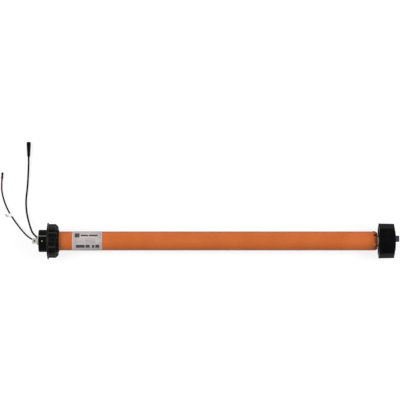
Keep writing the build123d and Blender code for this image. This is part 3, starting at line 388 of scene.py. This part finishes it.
# %% The visible pieces
TUBE_CUTS = (-200, 0, 200, 280, 288)
# Head and crown carry one more value: a painted highlight finish for their rounded edges.
VISIBLE = [
    ("head_cap", "head_housing", head_finish, 0.4, "housing", edge_highlight_finish),
    ("bracket_pin", "square_pin", pin_finish, 0.35, "housing"),
    ("bracket_plate", "pin_plate", plate_finish, 0.3, "housing"),
    ("plate_screws", "head_screws", steel_finish, 0.08, "housing"),
    ("set_button", "setting_button", button_finish, 0.15, "button"),
    ("sleeve", "crown_bearing", sleeve_finish, 0.15, "housing"),
    ("sleeve_clip", "crown_clip", sleeve_finish, 0.12, "housing"),
    ("crown", "crown_ring", crown_finish, 0.5, "crown", edge_highlight_finish),
    ("tube", "motor_tube", tube_finish, 0.12, "housing", None, TUBE_CUTS),
    ("end_cap", "gearbox_cap", head_finish, 0.2, "housing"),
    ("rivets", "end_rivets", rivet_finish, 0.15, "housing"),
    ("shaft", "output_shaft", steel_finish, 0.15, "output"),
    ("wheel", "drive_wheel", wheel_finish, 0.35, "output"),
    ("latch", "wheel_latch", latch_finish, 0.25, "latch"),
]
for name, *values in VISIBLE:
    piece = dressed(name, *values)
    print(name, "faces:", len(piece.data.polygons))

# %% [markdown]
# The wall of the pin's cross hole gets a darker, rougher finish than the rest of the pin. The wall's
# faces are those whose middle is no further from the hole's axis than its radius. A dark disc in the
# hole's mouth would be less work, but would look wrong from the side.

# %% Wall of the pin's hole
PIN_HOLE_X = -333.45 * MM
PIN_HOLE_RADIUS = 1.6 * MM
PIN_HOLE_REACH = (-3 * MM, 4.99 * MM)
# A little room, so that rounding doesn't drop a face that lies right on the radius
ROUNDING_ROOM = 1.01
pin = bpy.data.objects["bracket_pin"]
pin.data.materials.append(dark_hole_finish)
middles = np.array([face.center for face in pin.data.polygons])
along_hole = (middles - (0, 0, AXIS_HEIGHT)) @ KEY_SIDE
off_axis = np.hypot(middles[:, 0] - PIN_HOLE_X, (middles - (0, 0, AXIS_HEIGHT)) @ LEAD_SIDE)
in_hole = ((off_axis < ROUNDING_ROOM * PIN_HOLE_RADIUS) & (along_hole > PIN_HOLE_REACH[0])
           & (along_hole < PIN_HOLE_REACH[1]))
pin.data.polygons.foreach_set("material_index", in_hole.astype(int))
print("faces of the hole's wall:", in_hole.sum())

# %% [markdown]
# A pale line of painted highlight runs on the head, along the edge of its flat on the leads' side.
# The head is cut lengthwise at both sides of that line, and the faces between the cuts get the
# painted highlight. Only faces that look towards the key side count, so the line ends at the head's end
# wall.

# %% Painted highlight line on the head
# The band of the painted highlight line, out from the axis towards the leads.
HIGHLIGHT_LINE = (8.8 * MM, 9.9 * MM)
# A face counts when its normal is within 60 degrees of the key side, whose cosine is a half
FACING = 0.5
HIGHLIGHT_INDEX = 2
head = bpy.data.objects["head_cap"].data
head.materials.append(painted_highlight_finish)
work = bmesh.new()
work.from_mesh(head)
for side in HIGHLIGHT_LINE:
    cut_through(work, side * LEAD_SIDE + (0, 0, AXIS_HEIGHT), LEAD_SIDE)
for face in work.faces:
    place = np.array(face.calc_center_median()) - (0, 0, AXIS_HEIGHT)
    on_line = HIGHLIGHT_LINE[0] < place @ LEAD_SIDE < HIGHLIGHT_LINE[1] and place @ KEY_SIDE > 0
    if on_line and face.normal @ Vector(KEY_SIDE) > FACING:
        face.material_index = HIGHLIGHT_INDEX
work.to_mesh(head)
work.free()
print("faces of the painted highlight line:",
      sum(face.material_index == HIGHLIGHT_INDEX for face in head.polygons))

# %% [markdown]
# The pieces inside the tube are seen only when the part is taken apart. Rounding their edges would
# add many faces that hardly ever show, so they keep their CAD meshes and only get a finish.

# %% Finishes of the inner pieces
INNER = {
    "button_switch": chip_finish, "output_bush": bronze_finish, "ring_gear": gear_finish,
    "motor_plate": steel_finish, "brake_pad": lining_finish, "brake_disc": steel_finish,
    "motor_can": can_finish, "motor_bearings": bronze_finish, "motor_end_bell": chip_finish,
    "motor_brushes": carbon_finish, "motor_magnets": ferrite_finish, "motor_shaft": steel_finish,
    "armature_core": steel_finish, "armature_windings": copper_finish, "commutator": copper_finish,
    "motor_pinion": bronze_finish, "damper_rings": rubber_finish, "battery_cells": cell_finish,
    "battery_tabs": can_finish, "battery_wrap": wrap_finish, "foam_rings": foam_finish,
    "board_carrier": carrier_finish, "control_board": board_finish, "board_parts": chip_finish,
    "board_capacitors": can_finish, "board_terminals": terminal_finish, "motor_wires": wire_finish,
    "carrier_1": steel_finish, "carrier_2": steel_finish,
}
INNER.update({f"planet_{stage}{number}": gear_finish for stage in "abc" for number in (1, 2, 3)})
for name, finish in INNER.items():
    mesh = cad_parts[name].data
    mesh.materials.clear()
    mesh.materials.append(finish)
print("inner pieces:", len(INNER))

# %% [markdown]
# Label, turned pieces and flag are all surfaces over two parameters. One helper turns a grid of
# points into a mesh of quads, and can lay a map over the same grid, so that a print lies where it
# should. NumPy makes all points at once, which is shorter and faster than a loop over vertices.

# %% Meshes from grids of points


def grid_mesh(name, points, finish, close_round=False, uv=None, uv_name="map"):
    """A mesh of quads over a grid of points shaped (rows, columns, 3), joined round if asked."""
    rows, columns = points.shape[:2]
    last = columns if close_round else columns - 1
    row, column = np.meshgrid(np.arange(rows - 1), np.arange(last), indexing="ij")
    after = (column + 1) % columns
    quads = np.stack([row * columns + column, (row + 1) * columns + column,
                      (row + 1) * columns + after, row * columns + after], axis=-1).reshape(-1, 4)
    mesh = bpy.data.meshes.new(name)
    mesh.from_pydata(points.reshape(-1, 3), [], quads.tolist())
    mesh.polygons.foreach_set("use_smooth", np.ones(len(quads), bool))
    if uv is not None:
        layer = mesh.uv_layers.new(name=uv_name)
        layer.data.foreach_set("uv", uv.reshape(-1, 2)[quads.reshape(-1)].reshape(-1))
    mesh.materials.append(finish)
    piece = bpy.data.objects.new(name, mesh)
    bpy.context.scene.collection.objects.link(piece)
    return piece


print("helper:", grid_mesh.__doc__)

# %% [markdown]
# The rating label is a foil glued round the tube near the head. It is a curved patch: a point's place
# along the tube and its angle round it are the two parameters, and its radius is constant. A
# Solidify modifier gives it a thin wall, so its edge shows as a step on the tube.

# %% Label
LABEL_TURN = 100
LABEL_STEPS = 81
FOIL_RADIUS = 17.57 * MM
FILM_THICKNESS = 0.12 * MM


def foil_grid(stations, angles, radius):
    """A patch of a cylinder: the point (x, a) is (x, 0, height) + radius * direction(a)."""
    out = direction(angles)
    points = np.zeros((len(stations), len(angles), 3))
    points[..., 0] = stations[:, None]
    points[..., 1] = radius * out[1]
    points[..., 2] = AXIS_HEIGHT + radius * out[2]
    return points


low, high = (np.array(corner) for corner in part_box("rating_label"))
angles = np.linspace(-LABEL_TURN, LABEL_TURN, LABEL_STEPS)
stations = np.linspace(low[0], high[0], 3)
points = foil_grid(stations, angles, FOIL_RADIUS)
foil_map = np.zeros((len(stations), len(angles), 2))
foil_map[..., 0] = (stations[:, None] - low[0]) / MM
foil_map[..., 1] = (angles + LABEL_TURN) / (2 * LABEL_TURN) * LABEL_ROUND_MM
foil = grid_mesh("label_foil", points, foil_finish, uv=foil_map, uv_name="foil")
wall = foil.modifiers.new("foil_thickness", "SOLIDIFY")
wall.thickness = FILM_THICKNESS
wall.offset = 1.0
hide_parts("rating_label")
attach(foil, "housing")
print("label length in mm:", np.round(foil_map[..., 0].max(), 2))

# %% [markdown]
# The leads are round cables. Each leaves its gland straight, drops to the surface and rests there.
# The points are those of the CAD route, moved by a few millimetres to follow the photograph.
# A curve object is the plain way to draw them: a spline that is pulled towards control points has
# no kink, and its bevel gives it a round section, where a swept mesh would need much more code.

# %% Leads
POWER_ROUTE = [(-332.37, 13.465, 20.423), (-337.99, 18.882, 20.423), (-342.4, 30.0, 18.2),
               (-347.6, 49.0, 9.4), (-352.1, 69.0, 1.8), (-354.0, 92.0, 1.8), (-351.9, 116.0, 1.8),
               (-351.0, 140.0, 1.8), (-350.8, 158.0, 2.2), (-350.6, 168.0, 4.3), (-350.8, 176.0, 4.3)]
ANTENNA_ROUTE = [(-333.148, 5.606, 17.897), (-338.646, 8.008, 17.897), (-345.0, 12.6, 16.4),
                 (-354.2, 23.0, 11.0), (-364.0, 37.0, 4.6), (-374.3, 52.5, 1.5), (-385.4, 70.0, 1.5),
                 (-394.0, 89.5, 1.5), (-399.5, 110.0, 1.5), (-400.3, 126.0, 1.7), (-399.8, 137.0, 2.1)]
jacket_finish = mottled("extruded_pvc_black", ("08090A", "0E0F10"), 12, 1.0, 0.004, Roughness=0.42,
                        IOR=1.53, Specular_IOR_Level=0.03)


def lead(name, node_name, route, radius_mm, finish):
    """A round lead along a NURBS spline, whose control points are the route's, in millimetres."""
    curve = bpy.data.curves.new(name, "CURVE")
    curve.dimensions = "3D"
    curve.bevel_depth = radius_mm * MM
    curve.bevel_resolution = 6
    curve.use_fill_caps = True
    spline = curve.splines.new("NURBS")
    spline.points.add(len(route) - 1)
    for point, place in zip(spline.points, route):
        point.co = (*(value * MM for value in place), 1)
    spline.order_u = 3
    spline.use_endpoint_u = True
    curve.resolution_u = 16
    curve.materials.append(finish)
    piece = bpy.data.objects.new(name, curve)
    bpy.context.scene.collection.objects.link(piece)
    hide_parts(node_name)
    return piece


POWER_RADIUS = 1.7
ANTENNA_RADIUS = 1.45
power_lead = lead("power_cable", "power_lead", POWER_ROUTE, POWER_RADIUS, jacket_finish)
antenna_lead = lead("antenna_cable", "antenna_lead", ANTENNA_ROUTE, ANTENNA_RADIUS, jacket_finish)
print("control points:", len(POWER_ROUTE), "and", len(ANTENNA_ROUTE))

# %% [markdown]
# Glands, socket and antenna cap are turned shapes: a profile of radius against length, carried
# round a line. A turned shape closes at both ends where its radius is nought.

# %% Turned pieces
WELD_MM = 0.001
TURNED_SHARP = 35
STEPS_PER_RING = 8


def turned(name, start, way, profile, finish, sides=48, body="housing"):
    """A lathe shape: at each length l of the profile the radius is r, round the line from start."""
    way = np.array(way, float) / np.linalg.norm(way)
    side = np.cross(way, (0, 0, 1)) if abs(way[2]) < 0.9 else np.cross(way, (1, 0, 0))
    side /= np.linalg.norm(side)
    up = np.cross(side, way)
    length, radius = np.array(profile, float).T * MM
    turn = np.linspace(0, 2 * np.pi, sides, endpoint=False)
    spoke = np.cos(turn)[:, None] * side + np.sin(turn)[:, None] * up
    points = (np.array(start, float) * MM + length[:, None, None] * way
              + radius[:, None, None] * spoke)
    piece = grid_mesh(name, points, finish, close_round=True)
    work = bmesh.new()
    work.from_mesh(piece.data)
    bmesh.ops.remove_doubles(work, verts=work.verts, dist=WELD_MM * MM)
    bmesh.ops.recalc_face_normals(work, faces=work.faces)
    for edge in work.edges:
        edge.smooth = edge.calc_face_angle(0) < math.radians(TURNED_SHARP)
    work.to_mesh(piece.data)
    work.free()
    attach(piece, body)
    return piece


def ringed(start, stop, first_radius, last_radius, rings, depth):
    """Profile points of a cone with round ribs: radius falls evenly, and dips between the ribs."""
    share = np.linspace(0, 1, rings * STEPS_PER_RING + 1)
    dip = depth * (0.5 - 0.5 * np.cos(share * rings * 2 * np.pi))
    return list(zip(start + share * (stop - start),
                    first_radius + share * (last_radius - first_radius) - dip))


print("profile points in one rib:", STEPS_PER_RING)

# %% [markdown]
# The charging socket is moulded onto its lead: a thin ringed sleeve, a long taper, and a blunt end
# with a bore in which the contact pin stands. One profile makes all of it, because it can turn back
# into the bore and out again along the pin.

# %% Socket on the power lead
SOCKET_WAY = np.array(POWER_ROUTE[-1]) - np.array(POWER_ROUTE[-2])
socket_profile = ([(0, 0), (0, 1.72), (0.2, 1.8)] + ringed(0.5, 5.0, 1.82, 1.85, 5, 0.08)
                  + [(5.2, 2.3), (5.6, 2.6), (8.4, 2.85), (14.4, 3.15), (20.4, 3.45), (26.4, 3.8),
                     (29.5, 3.95), (33.0, 3.95), (33.6, 3.8), (33.8, 3.6), (33.9, 3.3), (33.9, 2.7),
                     (24.6, 2.7), (24.6, 1.0), (32.6, 1.0), (32.9, 0.7), (32.9, 0)])
socket = turned("charging_socket", POWER_ROUTE[-1], SOCKET_WAY, socket_profile, crown_finish)
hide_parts("power_connector")
print("socket length in mm:", max(length for length, radius in socket_profile))

# %% [markdown]
# A rubber cap closes the antenna lead. It has a waist halfway, where it grips the end of the wire.
# It is a lathe shape like the socket, and short enough to be written down point by point.

# %% Cap on the antenna lead
CAP_WAY = np.array(ANTENNA_ROUTE[-1]) - np.array(ANTENNA_ROUTE[-2])
cap_profile = [(0, 0), (0, 1.5), (0.2, 1.9), (0.7, 2.1), (3.6, 2.1), (4.4, 1.95), (5.2, 1.75), (6, 1.7),
               (6.8, 1.75), (7.6, 1.95), (8.4, 2.1), (11.2, 2.1), (11.7, 1.85), (12, 1.3), (12, 0)]
tip = turned("antenna_tip", ANTENNA_ROUTE[-1], CAP_WAY, cap_profile, rubber_finish)
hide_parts("antenna_cap")
print("cap length in mm:", cap_profile[-1][0])

# %% [markdown]
# Each lead leaves the head through a soft gland: a plug in the end wall, a ball that turns the way
# aside, and four soft rings that let the lead bend without a kink. The rings are dips in the cone's
# own radius, so they need no joining and come with the same lathe shape.

# %% Glands
# Measures in millimetres, and places counted from the middle of the ball
RINGS = 4
RING_DEPTH = 0.22
RINGS_START = 0.3
RINGS_END = 5.7
TIP_END = 6
TIP_WALL = 0.15
PLUG_REACH = 3
GLANDS = [
    ("power_boot", "power_gland", (-328.05, 9.301, 20.423), (-0.72, 0.694, 0), 2.4, 1.8),
    ("antenna_boot", "antenna_gland", (-327.65, 3.204, 17.897), (-0.9164, 0.4003, 0), 2.0, 1.55),
]


def gland(name, node_name, elbow, way, plug, tip_radius):
    """A plug that leaves the end wall, bends in a ball and tapers to the lead in four soft rings."""
    way = np.array(way, float) / np.linalg.norm(way)
    ball = [(-plug * math.cos(step), plug * math.sin(step)) for step in np.linspace(0, math.pi / 2, 9)]
    taper = ringed(RINGS_START, RINGS_END, plug, tip_radius + TIP_WALL, RINGS, RING_DEPTH)
    profile = ball + taper + [(TIP_END, tip_radius), (TIP_END, 0)]
    sleeve = turned(name, elbow, way, profile, rubber_finish, sides=40)
    plug_end = plug + PLUG_REACH
    plug_profile = [(0, 0), (0, plug), (plug_end, plug), (plug_end, 0)]
    stub = turned(name + "_plug", elbow, (1, 0, 0), plug_profile, rubber_finish, sides=40)
    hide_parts(node_name)
    return sleeve, stub


for values in GLANDS:
    for piece in gland(*values):
        print(piece.name, "faces:", len(piece.data.polygons))

# %% [markdown]
# The flag is a strip of white film folded round the antenna lead, its two leaves stuck together.
# Its print is too small to read, so two plain grey bars stand for it. They are masks over the film's
# own map, as on the label.

# %% Film of the flag
# Each bar is its (low, high) along the fold and its (low, high) out from it, in millimetres
FIRST_BAR = ((1.2, 2.8), (5.0, 9.6))
SECOND_BAR = ((3.8, 5.8), (6.2, 10.2))
film_finish, tree, shader = new_material("printed_white_film", Roughness=0.5)
place = node(tree, "UVMap", {"uv_map": "film"}).outputs["UV"]
across_film, out_film = node(tree, "SeparateXYZ", Vector=place).outputs[:2]
first = both(between(across_film, *FIRST_BAR[0]), between(out_film, *FIRST_BAR[1]))
second = both(between(across_film, *SECOND_BAR[0]), between(out_film, *SECOND_BAR[1]))
marks = both(first, second, "MAXIMUM")
grey = node(tree, "Mix", {"data_type": "RGBA", 6: paint("E6E6E3"), 7: paint("8E8F90")}, i0=marks)
tree.links.new(grey.outputs[2], shader.inputs["Base Color"])
grain(tree, shader, 0.8, 0.004)
print("nodes of the flag's print:", len(tree.nodes))

# %% [markdown]
# The film's free end curls up a little. It is a sheet over two parameters: along the fold, and along
# an outline that comes in on the upper leaf, goes round the lead and out again on the lower one. So
# one grid makes both leaves, with no seam to close.

# %% Flag
# Millimetres out from the lead's middle line, and the share of the way between two of its points
FLAG_HALF = 3.5
WRAP_GAP = 0.2
LEAF_START = 2.1
LEAF_END = 11.2
LEAF_GAP = 0.13
LEAF_SLANT = 0.12
CURL = 0.012
CURL_START = 2
LIFT = 0.25
SHARE_OF_WAY = 0.6
before, after = np.array(ANTENNA_ROUTE[5]), np.array(ANTENNA_ROUTE[6])
fold = (after - before) / np.linalg.norm(after - before)
leaf = np.array([-1.0, -LEAF_SLANT, 0.0]) / np.hypot(1, LEAF_SLANT)
middle = (1 - SHARE_OF_WAY) * before + SHARE_OF_WAY * after + (0, 0, LIFT)


def film_grid(along_fold, outline):
    """The point (s, t) is middle + s * fold + x(t) * leaf + (y(t) + curl) * up, in metres.

    The outline holds x and y, and the curl grows with the square of how far out the point lies.
    """
    curl = CURL * np.clip(outline[:, 0] - CURL_START, 0, None) ** 2
    points = (middle + along_fold[:, None, None] * fold + outline[None, :, :1] * leaf
              + (outline[:, 1] + curl)[None, :, None] * np.array([0, 0, 1.0]))
    return points * MM


along_fold = np.linspace(-FLAG_HALF, FLAG_HALF, 9)
wrap = np.linspace(0, 2 * np.pi, 25)[2:-2]
# Round the lead: a circle that opens towards the leaf, then two straight lines that meet
ring = (ANTENNA_RADIUS + WRAP_GAP) * np.stack([np.cos(wrap), np.sin(wrap)], axis=-1)
leaf_out = np.linspace(LEAF_START, LEAF_END, 12)
upper = np.stack([leaf_out, LEAF_GAP + 0 * leaf_out], axis=-1)
lower = np.stack([leaf_out, -LEAF_GAP + 0 * leaf_out], axis=-1)
outline = np.concatenate([upper[::-1], ring, lower])
points = film_grid(along_fold, outline)
film_map = np.stack(np.meshgrid(along_fold + FLAG_HALF, outline[:, 0], indexing="ij"), axis=-1)
flag = grid_mesh("antenna_tag", points, film_finish, uv=film_map, uv_name="film")
wall = flag.modifiers.new("film_thickness", "SOLIDIFY")
wall.thickness = FILM_THICKNESS
wall.offset = 0.0
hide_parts("antenna_flag")
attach(flag, "housing")
print("flag faces:", len(flag.data.polygons))

# %% [markdown]
# Both leads are free cords that could be lifted and laid elsewhere. Here each is only hung on the
# housing's body; its route, thickness, end and the pieces on it are listed beside it but not used. A
# spline cuts the corners between its control points, so up to a hundredth comes off the straight runs.

for piece, route, radius_mm, end, extras in (
        (power_lead, POWER_ROUTE, POWER_RADIUS, "connector", [socket]),
        (antenna_lead, ANTENNA_ROUTE, ANTENNA_RADIUS, "fitting", [tip, flag])):
    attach(piece, "housing")

# %% [markdown]

# %% [markdown]
# The photograph is a cut-out on white, so the floor is a plain pale sheet that renders almost
# white and keeps a soft shadow. A white floor under strong light would do that too, but would throw
# that light back at the part. So floor and world glow only for the rays that look at them.

# %% Floor and world
FLOOR_HALF = 30.0
FLOOR_GLOW = 0.8
WORLD_LIGHT = 0.2


def seen_rays(tree, strength):
    """A strength for the rays that look at a background: straight, mirrored or let through."""
    rays = node(tree, "LightPath")
    mirrored = node(tree, "Math", {"operation": "MAXIMUM"}, i0=rays.outputs["Is Camera Ray"],
                    i1=rays.outputs["Is Glossy Ray"])
    seen = node(tree, "Math", {"operation": "MAXIMUM"}, i0=mirrored.outputs[0],
                i1=rays.outputs["Is Transmission Ray"])
    return node(tree, "Math", {"operation": "MULTIPLY", 1: strength}, i0=seen.outputs[0]).outputs[0]


floor_mesh = bpy.data.meshes.new("floor")
floor_mesh.from_pydata([(-FLOOR_HALF, -FLOOR_HALF, 0), (FLOOR_HALF, -FLOOR_HALF, 0),
                        (FLOOR_HALF, FLOOR_HALF, 0), (-FLOOR_HALF, FLOOR_HALF, 0)], [], [(0, 1, 2, 3)])
floor = bpy.data.objects.new("floor", floor_mesh)
bpy.context.scene.collection.objects.link(floor)
floor_finish, tree, shader = new_material("pale_paper_floor", Roughness=0.9)
shader.inputs["Base Color"].default_value = paint("7C7C7C")
glow = node(tree, "Emission", {"Color": paint("FFFFFF")}, Strength=seen_rays(tree, FLOOR_GLOW))
total = node(tree, "AddShader", i0=shader.outputs[0], i1=glow.outputs[0])
tree.links.new(total.outputs[0], tree.nodes["Material Output"].inputs["Surface"])
floor_mesh.materials.append(floor_finish)

world = bpy.data.worlds.new("studio")
bpy.context.scene.world = world
world.use_nodes = True
sky = world.node_tree.nodes["Background"]
sky.inputs["Color"].default_value = (1, 1, 1, 1)
strength = node(world.node_tree, "Math", {"operation": "MAXIMUM", 1: WORLD_LIGHT},
                i0=seen_rays(world.node_tree, 1.0))
world.node_tree.links.new(strength.outputs[0], sky.inputs["Strength"])
print("side of the floor in m:", 2 * FLOOR_HALF)

# %% [markdown]
# Two large soft lamps stand over the ends of the part, and a long low one on the side of the leads
# draws the bright line along its upper edges. Area lamps give soft shadows, and the larger they are
# the softer. Their power is low enough that a colour renders about as it is written.

# %% Lamps
LIT_PLACE = (0, 0, 0.03)
SOFTBOX_SIZE = (1.0, 1.2)
SOFTBOX_POWER = 34
STRIP_SIZE = (2.4, 0.3)
STRIP_POWER = 9


def softbox(name, place, target, size, power):
    """A rectangular area lamp at a place, turned so that it faces a target."""
    lamp = bpy.data.lights.new(name, "AREA")
    lamp.shape = "RECTANGLE"
    lamp.size, lamp.size_y = size
    lamp.energy = power
    holder = bpy.data.objects.new(name, lamp)
    holder.location = place
    holder.rotation_euler = (Vector(target) - Vector(place)).to_track_quat("-Z", "Y").to_euler()
    bpy.context.scene.collection.objects.link(holder)


softbox("left_softbox", (-1.7, -0.4, 1.5), LIT_PLACE, SOFTBOX_SIZE, SOFTBOX_POWER)
softbox("right_softbox", (1.7, -0.4, 1.5), LIT_PLACE, SOFTBOX_SIZE, SOFTBOX_POWER)
softbox("rear_strip", (0.0, 1.8, 0.8), LIT_PLACE, STRIP_SIZE, STRIP_POWER)
print("lamps:", len(bpy.data.lights))

# %% [markdown]
# The camera is far away with a long lens, because the photograph shows the tube with no taper. It
# stands half a flat off the vertical, so that a corner of the crown points at it.

# %% Camera
DISTANCE = 4.5
MM_PER_PIXEL = 1.842
PHOTO_WIDTH = 400 * MM_PER_PIXEL * MM
CENTRE_ALONG = -0.0288
CENTRE_TO_LEADS = 0.0754
TARGET = np.array([CENTRE_ALONG, CENTRE_TO_LEADS * LEAD_SIDE[1],
                   AXIS_HEIGHT + CENTRE_TO_LEADS * LEAD_SIDE[2]])
camera_data = bpy.data.cameras.new("camera")
camera_data.angle = 2 * math.atan(PHOTO_WIDTH / 2 / DISTANCE)
camera_data.clip_end = 20
camera = bpy.data.objects.new("camera", camera_data)
camera.location = TARGET + DISTANCE * KEY_SIDE
camera.rotation_euler = (math.radians(ROLL), 0, 0)
bpy.context.scene.collection.objects.link(camera)
bpy.context.scene.camera = camera
bpy.context.scene.view_settings.view_transform = "Standard"
print("width of the picture at the part in mm:", round(PHOTO_WIDTH / MM, 1))

# %% [markdown] The looks have to stay inside the box of the CAD solids, because whoever places the
# part plans with that box.
